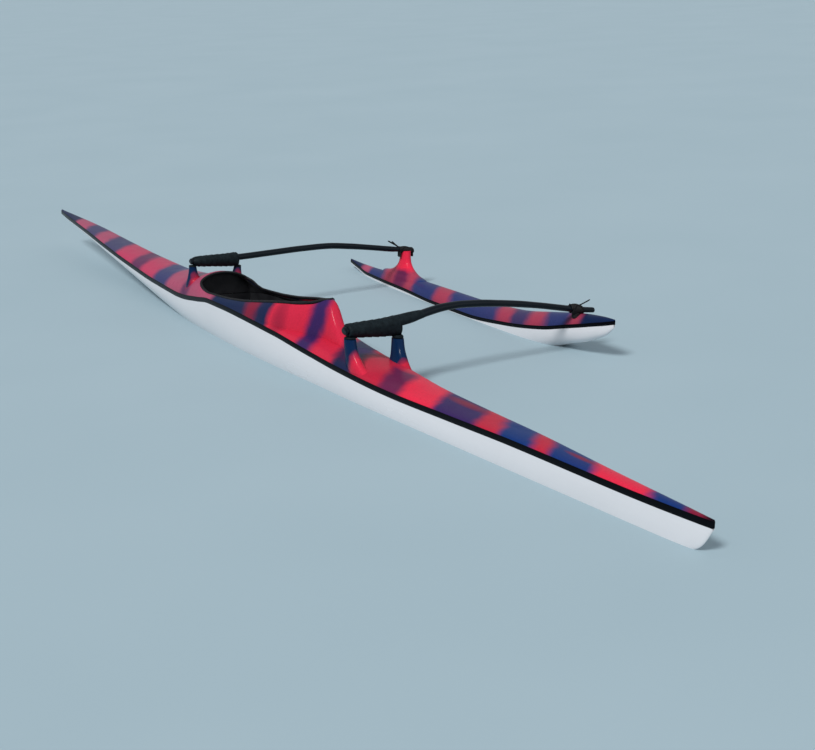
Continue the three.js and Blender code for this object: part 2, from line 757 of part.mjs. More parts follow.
// Where each boom meets the float: a lashing round the boom on what carries it
const pylonX = AFT_BOOM_X - FRONT_BOOM_X;
const FLOAT_JOINTS = [
  { name: 'front', x: FRONT_BOOM_X, table: FRONT_BOOM, from: 1014, to: 1078, chock: frontChock },
  { name: 'aft', x: AFT_BOOM_X, table: AFT_BOOM, from: 1086, to: 1172, chock: aftChock },
];
const floatDeckTool = floatDeck(GAP);
const floatToolOnBoat = floatDeckTool.clone().applyMatrix4(floatMatrix);
const lashingTools = FLOAT_JOINTS.map(({ name, x, table, from, to, chock }) => {
  const lashing = sleeve(table, x, LASHING_THICKNESS, from, to);
  add(boat, `${name}_float_lashing`, cut(lashing, floatToolOnBoat), 'cord');
  const tool = boomLoft(table, x, LASHING_THICKNESS + 2 * GAP, from - 20, to + 7);
  tool.applyMatrix4(floatInverse);
  add(floatGroup, `${name}_float_chock`, cut(chock(), tool, floatDeckTool), 'rubber');
  return tool;
});

const pylon = upright(PYLON_RINGS, PYLON_TOP, 1, 20);
pylon.translate(pylonX, 0, 0);
add(floatGroup, 'float_pylon', cut(pylon, floatDeckTool, ...lashingTools), 'paint');

export default canoe;
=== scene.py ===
import math
import bmesh
import bpy
from mathutils import Matrix, Vector


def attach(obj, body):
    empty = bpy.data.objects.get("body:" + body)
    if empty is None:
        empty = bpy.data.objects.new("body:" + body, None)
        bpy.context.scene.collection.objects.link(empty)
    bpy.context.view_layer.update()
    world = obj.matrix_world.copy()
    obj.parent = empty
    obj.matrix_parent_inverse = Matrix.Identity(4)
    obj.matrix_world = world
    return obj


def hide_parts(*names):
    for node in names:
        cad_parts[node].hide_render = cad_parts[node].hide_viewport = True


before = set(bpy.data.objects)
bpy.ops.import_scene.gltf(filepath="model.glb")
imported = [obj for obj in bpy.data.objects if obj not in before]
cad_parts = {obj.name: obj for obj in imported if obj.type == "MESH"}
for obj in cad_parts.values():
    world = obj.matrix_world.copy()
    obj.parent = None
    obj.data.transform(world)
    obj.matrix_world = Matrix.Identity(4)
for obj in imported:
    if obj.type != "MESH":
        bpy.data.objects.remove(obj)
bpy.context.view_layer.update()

# The boat is modelled upright and heeled to port as it floats. Single values are in metres, and
# the tables of the hull, the float, the booms and the uprights are in millimetres.
HEEL = math.radians(5)
AFLOAT = Matrix.Rotation(-HEEL, 4, "X")
HALF_LENGTH = 3.245
BAND_HALF = 0.012
BAND_PROUD = 0.0015
BAND_DEEP = 0.012
SECTION_POWER = 2.3
HOOD_POWER = 3
FRONT_X = 1.092
AFT_X = -0.615
COCKPIT_AFT = -0.535
COCKPIT_FRONT = 0.905
SHELL = 0.006
FLOAT_SHELL = 0.004
WRAP_HALF = 0.124
WRAP_TAIL_END = 0.236
WRAP_TAIL_THICK = 0.011
RIM_BEAD_RADIUS = 0.0065
SEAT_PAD = dict(x0=-0.433, x1=-0.129, half=0.104, low=0.0603, high=0.0803, corner=0.42)
PAD_CROWN = 0.0022
PAD_CHANNEL = 0.002
LINING_GAP = 0.001
LINING = 0.003
POST_SINK = 0.0015
SADDLE_CORD = 0.003
SADDLE_OVERLAP = 0.006
SADDLE_SQUEEZE = 0.92
FLOAT_Y = 1.080
FLOAT_EDGE = 0.009
FLOAT_PLACE = Matrix.Translation((FRONT_X, FLOAT_Y, 0)) @ Matrix.Rotation(-0.029, 4, "Z")

# Lines along the hull: x from its middle, then the half beam or a height
HALF_BEAM = [
    (-3245, 4), (-3040, 25), (-2600, 58), (-2050, 91), (-1600, 113), (-1090, 140), (-615, 165),
    (-150, 179), (250, 174), (550, 161), (850, 142), (1092, 133), (1555, 106), (2155, 74), (2655, 45),
    (2950, 28), (3110, 17), (3200, 9), (3245, 4),
]
SEAM = [
    (-3245, 226), (-2613, 198), (-2104, 165), (-1655, 138), (-1134, 118), (-800, 116), (-677, 120),
    (-450, 145), (-277, 166), (-73, 168), (114, 164), (455, 150), (800, 120), (1014, 106), (1497, 90),
    (1887, 95), (2259, 100), (2839, 97), (3245, 101),
]
KEEL = [
    (-3245, 210), (-3000, 190), (-2600, 160), (-2200, 120), (-1800, 74), (-1400, 24), (-1000, -26),
    (-600, -68), (-200, -94), (200, -105), (800, -104), (1500, -92), (2200, -80), (2700, -64),
    (3020, -48), (3090, -34), (3150, -12), (3196, 14), (3220, 42), (3245, 82),
]
CREST = [
    (-3245, 244), (-3000, 235), (-2600, 221), (-2100, 193), (-1655, 180), (-1270, 176), (-1000, 191),
    (-850, 205), (-700, 226), (-600, 247), (-535, 265), (-470, 263), (-400, 230), (-330, 212),
    (-150, 222), (50, 250), (250, 285), (430, 312), (600, 331), (680, 337), (712, 332), (742, 310),
    (770, 272), (800, 236), (840, 203), (880, 173), (905, 158), (1000, 152), (1092, 152), (1200, 147),
    (1320, 139), (1600, 125), (2000, 122), (2300, 125), (2700, 121), (3245, 118),
]
# The cockpit's hood: height of its foot, its half width, and the outline of the opening in plan
HOOD_FOOT = [
    (-535, 265), (-400, 222), (-150, 204), (250, 198), (640, 174), (800, 164), (905, 158),
]
HOOD_HALF = [
    (-535, 165), (-150, 177), (100, 176), (300, 169), (430, 150), (520, 124), (600, 97), (640, 78),
    (680, 58), (720, 44), (800, 37), (905, 30),
]
OPENING = [
    (-507, 0), (-505, 90), (-480, 138), (-395, 153), (-145, 154), (105, 147), (360, 123), (540, 86),
    (650, 46), (700, 0),
]
# Float sections: x from the front boom, half width, keel, seam, crest
FLOAT_SECTIONS = [
    (-2380, 4, 126, 143, 155), (-2250, 20, 104, 129, 149), (-2100, 38, 74, 114, 148),
    (-1850, 58, 46, 113, 156), (-1600, 68, 21, 111, 166), (-1240, 77, -10, 101, 170),
    (-900, 78, -18, 101, 173), (-524, 77, 2, 127, 193), (-206, 71, 72, 170, 240),
    (-50, 58, 122, 205, 266), (60, 44, 152, 230, 280), (135, 31, 182, 248, 287),
    (200, 17, 212, 263, 291), (252, 4, 252, 277, 292),
]
# Boom centre lines: y, height, half width, half height
FRONT_BOOM = [
    (-138, 280, 26, 18), (-124, 281, 26, 18), (-60, 285, 26, 18), (30, 292, 26, 18), (124, 303, 26, 18),
    (178, 313, 25, 18), (227, 326, 24, 17), (276, 338, 24, 17), (325, 348, 23, 17), (375, 354, 23, 16),
    (430, 357, 22, 16), (527, 355, 21, 16), (631, 348, 20, 15), (736, 338, 19, 15), (846, 324, 19, 14),
    (956, 307, 18, 14), (1014, 298, 17, 14), (1044, 294, 17, 14), (1078, 290, 17, 13),
    (1146, 284, 16, 12),
]
AFT_BOOM = [
    (-138, 308, 21, 15), (-124, 308, 21, 15), (124, 318, 21, 16), (300, 331, 20, 16),
    (500, 346, 19, 16), (650, 352, 18, 16), (783, 344, 18, 16), (906, 332, 17, 15), (1031, 318, 17, 15),
    (1086, 313, 16, 13), (1130, 309, 15, 12), (1172, 305, 15, 12), (1180, 304, 14, 11),
]
# Flared uprights: height, centre x and y, half length, half width
FRONT_POST = [
    (118, 68, 97, 92, 32), (140, 49, 104, 71, 29), (165, 34, 109, 54, 27), (200, 20, 112, 40, 25),
    (240, 12, 114, 32, 24),
]
AFT_POST = [
    (160, 0, 108, 72, 47), (188, 0, 112, 54, 42), (218, 0, 118, 33, 30), (244, 0, 122, 23, 22),
    (264, 0, 124, 19, 19),
]
PYLON = [
    (130, 0, 0, 260, 62), (166, 0, 0, 235, 52), (178, 0, 0, 165, 45), (198, 0, 0, 105, 39),
    (224, 0, 0, 64, 32), (250, 0, 0, 46, 28), (304, 0, 0, 36, 25),
]


def curve(table, column=1):
    """Smooth curve through one column of a table, in metres, that never overshoots its points."""
    xs = [row[0] / 1000 for row in table]
    zs = [row[column] / 1000 for row in table]
    steps = [(zs[i + 1] - zs[i]) / (xs[i + 1] - xs[i]) for i in range(len(xs) - 1)]
    slopes = [steps[0]]
    for before, after in zip(steps, steps[1:]):
        slopes.append(2 * before * after / (before + after) if before * after > 0 else 0)
    slopes.append(steps[-1])

    def value(x):
        if x <= xs[0]:
            return zs[0]
        if x >= xs[-1]:
            return zs[-1]
        i = max(k for k in range(len(xs) - 1) if xs[k] <= x)
        span = xs[i + 1] - xs[i]
        t = (x - xs[i]) / span
        rise = zs[i + 1] - zs[i]
        a = slopes[i] * span - rise
        b = rise - slopes[i + 1] * span
        return zs[i] + t * rise + t * (1 - t) * (a * (1 - t) + b * t)

    return value


seam_at = curve(SEAM)
keel_at = curve(KEEL)
crest_at = curve(CREST)
half_at = curve(HALF_BEAM)
hood_foot_at = curve(HOOD_FOOT)
hood_half_at = curve(HOOD_HALF)


def spread(start, end, count, ends=0.0):
    """Stations from start to end, drawn towards both ends by a share of the ease."""
    out = []
    for i in range(count + 1):
        t = i / count
        eased = 0.5 - 0.5 * math.cos(math.pi * t)
        out.append(start + (end - start) * (t + (eased - t) * ends))
    return out


def circle(count):
    """Cosine and sine of even steps round a circle."""
    angles = [2 * math.pi * k / count for k in range(count)]
    return [(math.cos(angle), math.sin(angle)) for angle in angles]


def round_ring(centre, side, up, radius, count):
    """Points round a centre, in the plane of two directions."""
    return [centre + (side * c + up * s) * radius for c, s in circle(count)]


def loft(rings, caps=True, loop=False):
    """Mesh through closed rings of points: its ends capped or open, or the whole joined in a loop."""
    mesh = bpy.data.meshes.new("loft")
    bm = bmesh.new()
    rows = [[bm.verts.new(point) for point in ring] for ring in rings]
    count = len(rows[0])
    pairs = list(zip(rows, rows[1:] + rows[:1])) if loop else list(zip(rows, rows[1:]))
    for near, far in pairs:
        for j in range(count):
            k = (j + 1) % count
            bm.faces.new((near[j], far[j], far[k], near[k]))
    if caps and not loop:
        bm.faces.new(rows[0])
        bm.faces.new(list(reversed(rows[-1])))
    bmesh.ops.recalc_face_normals(bm, faces=bm.faces)
    bm.to_mesh(mesh)
    bm.free()
    return mesh


def smooth(mesh, angle):
    """Smooth shading with an edge wherever two faces meet at more than an angle in degrees."""
    bm = bmesh.new()
    bm.from_mesh(mesh)
    limit = math.radians(angle)
    for face in bm.faces:
        face.smooth = True
    for edge in bm.edges:
        edge.smooth = edge.calc_face_angle(0) < limit
    bm.to_mesh(mesh)
    bm.free()


def piece(name, mesh, material, replaced=(), place=None, angle=38):
    """A finished piece: heeled with the boat, smoothed, painted and riding on the root body."""
    if place is not None:
        mesh.transform(place)
    mesh.transform(AFLOAT)
    smooth(mesh, angle)
    mesh.name = name
    obj = bpy.data.objects.new(name, mesh)
    bpy.context.scene.collection.objects.link(obj)
    mesh.materials.clear()
    mesh.materials.append(material)
    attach(obj, "root")
    if replaced:
        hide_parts(*replaced)
    return obj


def join_meshes(meshes):
    """One mesh made of several, which are removed."""
    bm = bmesh.new()
    for mesh in meshes:
        bm.from_mesh(mesh)
        bpy.data.meshes.remove(mesh)
    joined = bpy.data.meshes.new("joined")
    bm.to_mesh(joined)
    bm.free()
    return joined


class Look:
    """A material as a small network of shader nodes on the object's own coordinates."""

    def __init__(self, name):
        self.material = bpy.data.materials.new(name)
        self.material.use_nodes = True
        self.nodes = self.material.node_tree.nodes
        self.links = self.material.node_tree.links
        self.shader = self.nodes["Principled BSDF"]
        self.coord = self.nodes.new("ShaderNodeTexCoord").outputs["Object"]

    def link(self, value, socket):
        if isinstance(value, bpy.types.NodeSocket):
            self.links.new(value, socket)
        else:
            socket.default_value = value

    def math(self, operation, a, b=0.0):
        node = self.nodes.new("ShaderNodeMath")
        node.operation = operation
        self.link(a, node.inputs[0])
        self.link(b, node.inputs[1])
        return node.outputs[0]

    def scaled(self, value, middle, gain):
        """How far a value is past a middle, times a gain."""
        return self.math("MULTIPLY", self.math("SUBTRACT", value, middle), gain)

    def noise(self, scale, detail=3.0, stretch=(1, 1, 1)):
        mapping = self.nodes.new("ShaderNodeMapping")
        mapping.inputs["Scale"].default_value = stretch
        self.links.new(self.coord, mapping.inputs["Vector"])
        node = self.nodes.new("ShaderNodeTexNoise")
        node.inputs["Scale"].default_value = scale
        node.inputs["Detail"].default_value = detail
        self.links.new(mapping.outputs["Vector"], node.inputs["Vector"])
        return node.outputs["Fac"]

    def spread(self, value, low, high):
        node = self.nodes.new("ShaderNodeMapRange")
        self.links.new(value, node.inputs["Value"])
        node.inputs["To Min"].default_value = low
        node.inputs["To Max"].default_value = high
        node.inputs["From Min"].default_value = 0.25
        node.inputs["From Max"].default_value = 0.75
        return node.outputs["Result"]

    def mix(self, factor, a, b, blend="MIX"):
        node = self.nodes.new("ShaderNodeMix")
        node.data_type = "RGBA"
        node.blend_type = blend
        self.link(factor, node.inputs["Factor"])
        self.link(a, node.inputs["A"])
        self.link(b, node.inputs["B"])
        return node.outputs["Result"]

    def split(self):
        node = self.nodes.new("ShaderNodeSeparateXYZ")
        self.links.new(self.coord, node.inputs[0])
        return node.outputs

    def bump(self, value, strength, distance=0.001):
        node = self.nodes.new("ShaderNodeBump")
        node.inputs["Strength"].default_value = strength
        node.inputs["Distance"].default_value = distance
        self.links.new(value, node.inputs["Height"])
        self.links.new(node.outputs["Normal"], self.shader.inputs["Normal"])

    def surface(self, color, roughness, coat=0.0, specular=0.5):
        self.link(color, self.shader.inputs["Base Color"])
        self.link(roughness, self.shader.inputs["Roughness"])
        self.shader.inputs["Coat Weight"].default_value = coat
        self.shader.inputs["Coat Roughness"].default_value = 0.12
        self.shader.inputs["Specular IOR Level"].default_value = specular
        return self.material


def rgba(color):
    return (*color, 1.0)


def plain_look(
    name, dark, light, scale, roughness, coat=0.0, bump=0.2, distance=0.0006, stretch=(1, 1, 1),
    specular=0.25,
):
    """Two close tones mottled by noise, with uneven roughness and a fine bump."""
    look = Look(name)
    tone = look.spread(look.noise(scale, 4, stretch), 0, 1)
    color = look.mix(tone, rgba(dark), rgba(light))
    rough = look.spread(look.noise(scale * 2.3, 3, stretch), *roughness)
    look.bump(look.noise(scale * 6, 3, stretch), bump, distance)
    return look.surface(color, rough, coat, specular)


RED = (0.50, 0.018, 0.045)
CRIMSON = (0.62, 0.022, 0.055)
BRIGHT = (0.76, 0.024, 0.062)
DEEP = (0.22, 0.012, 0.036)
# On the aft deck PINK, ROSE, MAUVE, SLATE and STEEL are red and blue paint paled and greyed by a
# painted reflection of the sky
PINK = (0.40, 0.075, 0.14)
ROSE = (0.50, 0.045, 0.11)
PURPLE = (0.13, 0.016, 0.065)
VIOLET = (0.035, 0.018, 0.10)
BLUE = (0.004, 0.034, 0.16)
NAVY = (0.003, 0.018, 0.062)
SLATE = (0.055, 0.055, 0.13)
STEEL = (0.035, 0.045, 0.14)
MAUVE = (0.12, 0.03, 0.09)
BLACK = (0.003, 0.003, 0.005)
FLOAT_RED = (0.37, 0.045, 0.085)
FLOAT_BLUE = (0.022, 0.04, 0.14)
INDIGO = (0.045, 0.035, 0.11)

# The sprayed bands slant over the boat: a place is x plus one share of y, less another of z
SLANT = 0.9
LEAN = 0.4
LEAN_HEIGHT = 0.13

# Sprayed bands, from the stern: where each ends, in millimetres, and its colour. The pale pink, rose,
# mauve, slate and steel bands of the aft deck are its red and blue paint lightened by a painted
# reflection of the sky.
HULL_BANDS = [
    (-2890, NAVY), (-2640, PINK), (-2430, SLATE), (-2230, PINK), (-1970, SLATE), (-1685, ROSE),
    (-1530, MAUVE), (-1292, ROSE), (-1077, STEEL), (-845, PINK), (-755, MAUVE), (-430, PINK),
    (-40, NAVY), (70, DEEP), (205, NAVY), (520, CRIMSON), (640, VIOLET), (850, CRIMSON), (1030, NAVY),
    (1262, RED), (1420, PURPLE), (1672, BRIGHT), (1967, VIOLET), (2109, RED), (2313, BLUE),
    (2411, RED), (2659, BLUE), (2957, BRIGHT), (3136, BLUE), (3210, DEEP), (3300, BLACK),
]
FLOAT_BANDS = [
    (-1007, NAVY), (-929, PINK), (-733, FLOAT_BLUE), (-608, FLOAT_RED), (-486, PURPLE),
    (-403, FLOAT_RED), (-150, FLOAT_BLUE), (10, FLOAT_RED), (460, FLOAT_BLUE), (575, FLOAT_RED),
    (720, INDIGO), (842, FLOAT_RED), (1034, FLOAT_BLUE), (1085, FLOAT_RED), (1500, NAVY),
]
# Where the first band begins and the last ends
HULL_PAINT = (-3300, 3300)
FLOAT_PAINT = (-1300, 1500)
# Bands in one colour ramp, the blend from one ramp to the next, and the softest edge of a band
BANDS_A_RAMP = 15
RAMP_BLEND = 50
BAND_SOFT = 38

# Soft dabs over the deck's bands, one of them a painted shade: centre x and y, reach along and across,
# strength and colour
HULL_DABS_AND_SHADE = [
    (-0.617, -0.105, 0.06, 0.06, 0.8, RED),
    # A painted shade: darker red on the hood's near flank, just under the lip of the rim
    (0.46, -0.148, 0.06, 0.09, 0.6, DEEP),
    (0.96, 0.04, 0.08, 0.06, 0.75, VIOLET),
    (1.26, 0.085, 0.12, 0.06, 0.9, CRIMSON),
    (1.80, 0.035, 0.17, 0.04, 0.9, DEEP),
    (2.57, 0.008, 0.11, 0.018, 0.9, DEEP),
]


def upright_place(look):
    """Place on the boat before it is heeled, near enough for paint."""
    x, y, z = look.split()
    return x, look.math("SUBTRACT", y, look.math("MULTIPLY", z, math.sin(HEEL))), z


def dabbed_and_shaded(look, color, dabs_and_shade):
    """The colour with round dabs of other colours over it, a painted shade among them."""
    x, y, _ = upright_place(look)
    for x0, y0, along, across, strength, tint in dabs_and_shade:
        du = look.scaled(x, x0, 1 / along)
        dv = look.scaled(y, y0, 1 / across)
        reach = look.math("ADD", look.math("MULTIPLY", du, du), look.math("MULTIPLY", dv, dv))
        inside = look.math("MAXIMUM", look.math("SUBTRACT", 1.0, reach), 0.0)
        share = look.math("MULTIPLY", inside, strength)
        color = look.mix(share, color, rgba(tint))
    return color


def banded(look, bands, low, high, middle):
    """Colour of the sprayed bands at a place along the boat that wavers with the spray."""
    x, y, z = upright_place(look)
    waver = look.scaled(look.noise(9, 2), 0.5, 0.07)
    fine = look.scaled(look.noise(34, 3), 0.5, 0.02)
    slant = look.scaled(y, middle, SLANT)
    lean = look.scaled(z, LEAN_HEIGHT, -LEAN)
    place = look.math("ADD", look.math("ADD", x, waver), look.math("ADD", fine, slant))
    place = look.math("ADD", place, lean)
    color = None
    start = low
    for first in range(0, len(bands), BANDS_A_RAMP):
        group = bands[first:first + BANDS_A_RAMP]
        end = min(group[-1][0], high)
        ramp = look.nodes.new("ShaderNodeValToRGB")
        ramp.color_ramp.interpolation = "EASE"
        elements = ramp.color_ramp.elements
        stops = []
        left = start
        for until, tint in group:
            right = min(until, high)
            soft = min(BAND_SOFT, 0.34 * (right - left))
            stops += [(left + soft, tint), (right - soft, tint)]
            left = right
        scale = end - start
        for i, (at, tint) in enumerate(stops):
            position = min(1.0, max(0.0, (at - start) / scale))
            element = elements[i] if i < 2 else elements.new(position)
            element.position = position
            element.color = rgba(tint)
        share = look.math("DIVIDE", look.math("SUBTRACT", place, start / 1000), scale / 1000)
        look.links.new(share, ramp.inputs["Fac"])
        tone = ramp.outputs["Color"]
        if color is None:
            color = tone
        else:
            past = look.scaled(place, (start - RAMP_BLEND / 2) / 1000, 1000 / RAMP_BLEND)
            color = look.mix(past, color, tone)
        start = end
    return color


def sprayed(look, color):
    """The finish that all sprayed paint shares: a fine grain under a clear glossy coat."""
    grain = look.spread(look.noise(160, 2), 0.88, 1.1)
    color = look.mix(1.0, color, grain, "MULTIPLY")
    look.bump(look.noise(90, 3), 0.1, 0.0004)
    return look.surface(color, look.spread(look.noise(11, 4), 0.26, 0.4), 0.07, 0.04)


def paint_look(name, bands, low, high, middle=0.0, dabs_and_shade=()):
    """Sprayed bands and dabs under a light mist of one more colour; on the hull, a painted shade and a
    painted sky reflection are among them.
    """
    look = Look(name)
    color = dabbed_and_shaded(look, banded(look, bands, low, high, middle), dabs_and_shade)
    mist = look.spread(look.noise(3.2, 5), 0.0, 0.1)
    return sprayed(look, look.mix(mist, color, rgba(PURPLE)))


def post_look(name, x0, z0, top, side):
    """One colour at the top and aft, another towards the bow and the foot."""
    look = Look(name)
    x, _, z = look.split()
    ahead = look.scaled(x, x0, 16)
    down = look.scaled(z, z0, -5.5)
    waver = look.scaled(look.noise(14, 2), 0.5, 0.8)
    share = look.spread(look.math("ADD", look.math("ADD", ahead, down), waver), 0, 1)
    return sprayed(look, look.mix(share, rgba(top), rgba(side)))


def pylon_look(name):
    """The float's bands at the pylon's foot, bright red from there to its top."""
    look = Look(name)
    _, _, z = look.split()
    waver = look.scaled(look.noise(20, 3), 0.5, 0.8)
    up = look.scaled(z, 0.085, 22)
    share = look.spread(look.math("ADD", up, waver), 0, 1)
    foot = banded(look, FLOAT_BANDS, *FLOAT_PAINT, FLOAT_Y)
    return sprayed(look, look.mix(share, foot, rgba(BRIGHT)))


# The hull's bands and dabs hold a painted shade on the hood and a painted sky reflection on the aft
# deck
hull_paint_and_light = paint_look("hull_paint_with_painted_light", HULL_BANDS, *HULL_PAINT, dabs_and_shade=HULL_DABS_AND_SHADE)
float_paint = paint_look("sprayed_float_paint", FLOAT_BANDS, *FLOAT_PAINT, FLOAT_Y)
starboard_paint = post_look("starboard_post_paint", FRONT_X + 0.028, 0.19, NAVY, CRIMSON)
port_paint = post_look("port_post_paint", FRONT_X + 0.078, 0.19, NAVY, RED)
aft_paint = post_look("aft_post_paint", AFT_X, 0.248, NAVY, RED)
pylon_paint = pylon_look("pylon_paint")
white = plain_look(
    "white_gelcoat", (0.70, 0.70, 0.72), (0.77, 0.76, 0.78), 2.2, (0.16, 0.3), 0.3, 0.1, 0.0004,
    (0.4, 1, 2), 0.4
)
stripe_black = plain_look(
    "stripe_black", (0.001, 0.001, 0.002), (0.002, 0.003, 0.005), 8, (0.16, 0.28), 0.02, 0.1,
    specular=0.05,
)
boom_black = plain_look(
    "boom_black", (0.001, 0.003, 0.006), (0.003, 0.007, 0.011), 14, (0.24, 0.4), 0, 0.2, 0.0004,
    (1, 0.3, 1), 0.15
)
trim_black = plain_look(
    "trim_black", (0.003, 0.003, 0.004), (0.008, 0.008, 0.01), 30, (0.4, 0.6), 0, 0.3
)
rubber = plain_look(
    "wound_rubber", (0.002, 0.005, 0.007), (0.009, 0.016, 0.020), 60, (0.42, 0.8), 0, 0.7, 0.0012,
    specular=0.12,
)
cord_black = plain_look(
    "lashing_black", (0.003, 0.003, 0.004), (0.013, 0.013, 0.014), 240, (0.55, 0.85), 0, 0.8, 0.0008
)
laminate = plain_look(
    "dark_laminate", (0.006, 0.006, 0.008), (0.018, 0.019, 0.021), 20, (0.4, 0.62), 0, 0.4
)
foam = plain_look(
    "seat_foam", (0.025, 0.026, 0.029), (0.06, 0.062, 0.066), 260, (0.8, 0.95), 0, 0.6, 0.0008
)


def bottom_points(x, half, keel, top, inset, sides=28):
    """One skin of a round-bottomed section, from its port edge to its starboard edge."""
    reach = max(0.001, half - inset)
    low = min(top - 0.001, keel + inset)
    ring = []
    for i in range(sides + 1):
        angle = math.pi * i / sides
        c = math.cos(angle)
        across = math.copysign(abs(c) ** (2 / SECTION_POWER), c)
        down = max(0.0, math.sin(angle)) ** (2 / SECTION_POWER)
        ring.append((x, reach * across, top - (top - low) * down))
    return ring


def open_hull(stations, half, keel, top, thickness):
    """A round-bottomed shell, open at the top, with an inner and an outer skin."""
    rings = []
    for x in stations:
        inset = min(thickness, 0.4 * half(x), 0.4 * (top(x) - keel(x)))
        outer = bottom_points(x, half(x), keel(x), top(x), 0)
        inner = bottom_points(x, half(x), keel(x), top(x), inset)
        rings.append(outer + inner[::-1])
    return loft(rings)


def stripe_loop(stations, half, seam, tall, proud, deep):
    """The stripe as one band round both sides and both tips, with softly rounded edges."""
    rings = []
    for side, run in ((-1, stations), (1, stations[::-1])):
        for x in run:
            outer = half(x) + proud
            inner = max(0.0004, outer - deep)
            z = seam(x)
            ring = [(inner, -tall), (outer - 0.001, -tall), (outer, -tall + 0.002)]
            ring += [(outer, tall - 0.002), (outer - 0.001, tall), (inner, tall)]
            rings.append([(x, side * y, z + h) for y, h in ring])
    return loft(rings, loop=True)


def crown_deck(stations, half, base, crest, sides=36):
    """A crowned deck with a flat underside."""
    rings = []
    for x in stations:
        ring = []
        for i in range(sides + 1):
            angle = math.pi * i / sides
            rise = max(0.0005, crest(x) - base(x)) * math.sin(angle)
            ring.append((x, -half(x) * math.cos(angle), base(x) + rise))
        rings.append(ring)
    return loft(rings)


def band_top(x):
    return seam_at(x) + BAND_HALF


def band_foot(x):
    return seam_at(x) - BAND_HALF


def deck_height(x, y):
    """Height of the plain deck's surface."""
    share = min(1.0, abs(y) / half_at(x))
    return band_top(x) + (crest_at(x) - band_top(x)) * math.sqrt(1 - share * share)


def surround_height(x, y, inset=0.0):
    """Height of the deck and its hood round the cockpit, or of a skin inside them."""
    base = band_top(x)
    foot = min(hood_foot_at(x), crest_at(x))
    share = min(1.0, abs(y) / (half_at(x) - inset))
    hood_share = min(1.0, abs(y) / (hood_half_at(x) - inset))
    hood = (crest_at(x) - foot) * math.sqrt(1 - hood_share ** HOOD_POWER)
    return base + (foot - base) * math.sqrt(1 - share * share) + hood - inset


def outline(inset, count):
    """Plan of the cockpit opening as a smooth closed curve, moved inwards by the inset."""
    knots = [Vector((x, -y)) / 1000 for x, y in OPENING]
    knots += [Vector((x, y)) / 1000 for x, y in OPENING[-2:0:-1]]
    total = len(knots)
    points = []
    for i in range(count):
        at = total * i / count
        k = int(at)
        t = at - k
        p0, p1, p2, p3 = (knots[(k + d) % total] for d in (-1, 0, 1, 2))
        points.append(0.5 * (
            2 * p1 + (p2 - p0) * t + (2 * p0 - 5 * p1 + 4 * p2 - p3) * t * t
            + (3 * p1 - p0 - 3 * p2 + p3) * t ** 3
        ))
    out = []
    for i, point in enumerate(points):
        along = (points[(i + 1) % count] - points[i - 1]).normalized()
        out.append(point + Vector((-along.y, along.x)) * inset)
    return out


def surround_ring(x, inset):
    """Section over the hooded part of the deck, with points close together over the hood."""
    half = half_at(x) - inset
    hood = min(hood_half_at(x) - inset, 0.97 * half)
    ys = [-half + (half - hood) * (1 - (1 - i / 10) ** 2) for i in range(10)]
    ys += [-hood * math.cos(0.5 * math.pi * i / 22) for i in range(22)]
    ys += [0.0] + [-y for y in reversed(ys)]
    ring = []
    for y in ys:
        edge = abs(y) > half - 1e-6
        ring.append((x, y, band_top(x) if edge else max(band_top(x), surround_height(x, y, inset))))
    return ring


def cockpit_shell(outer, inner, ends):
    """A skin of the cockpit surround between two depths, with the opening cut out of it."""
    rings = []
    for x in spread(COCKPIT_AFT + ends, COCKPIT_FRONT - ends, 150):
        rings.append(surround_ring(x, outer) + surround_ring(x, inner)[::-1])
    body = bpy.data.objects.new("body", loft(rings))
    points = outline(0.0, 160)
    cutter = bpy.data.objects.new("cutter", loft([[(*p, z) for p in points] for z in (-0.2, 0.6)]))
    for obj in (body, cutter):
        bpy.context.scene.collection.objects.link(obj)
    modifier = body.modifiers.new("opening", "BOOLEAN")
    modifier.object = cutter
    modifier.operation = "DIFFERENCE"
    modifier.solver = "EXACT"
    graph = bpy.context.evaluated_depsgraph_get()
    mesh = bpy.data.meshes.new_from_object(body.evaluated_get(graph))
    bpy.data.objects.remove(body)
    bpy.data.objects.remove(cutter)
    return mesh


def rim_bead(radius, sides=12):
    """A round bead along the edge of the cockpit's opening."""
    rings = []
    path = [Vector((*p, surround_height(p.x, p.y) - 0.001)) for p in outline(radius, 220)]
    for i, centre in enumerate(path):
        along = (path[(i + 1) % len(path)] - path[i - 1]).normalized()
        side = Vector((0, 0, 1)).cross(along).normalized()
        rings.append(round_ring(centre, side, along.cross(side), radius, sides))
    return loft(rings, loop=True)


def upright(table, x0, sign, top, ground, steps=36, sides=48):
    """A flared upright stretched to a given top, its foot just under the surface it stands on."""
    columns = [curve([(i * 1000, row[c]) for i, row in enumerate(table)]) for c in range(5)]
    last = len(table) - 1
    low = table[0][0] / 1000
    stretch = (top - low) / (table[-1][0] / 1000 - low)
    rings = []
    for step in range(steps + 1):
        z, cx, cy, rx, ry = (column(last * step / steps) for column in columns)
        height = low + (z - low) * stretch
        ring = []
        for c, s in circle(sides):
            x = x0 + cx + rx * c
            y = sign * (cy + ry * s)
            ring.append((x, y, max(height, ground(x, y) - POST_SINK)))
        rings.append(ring)
    return loft(rings)


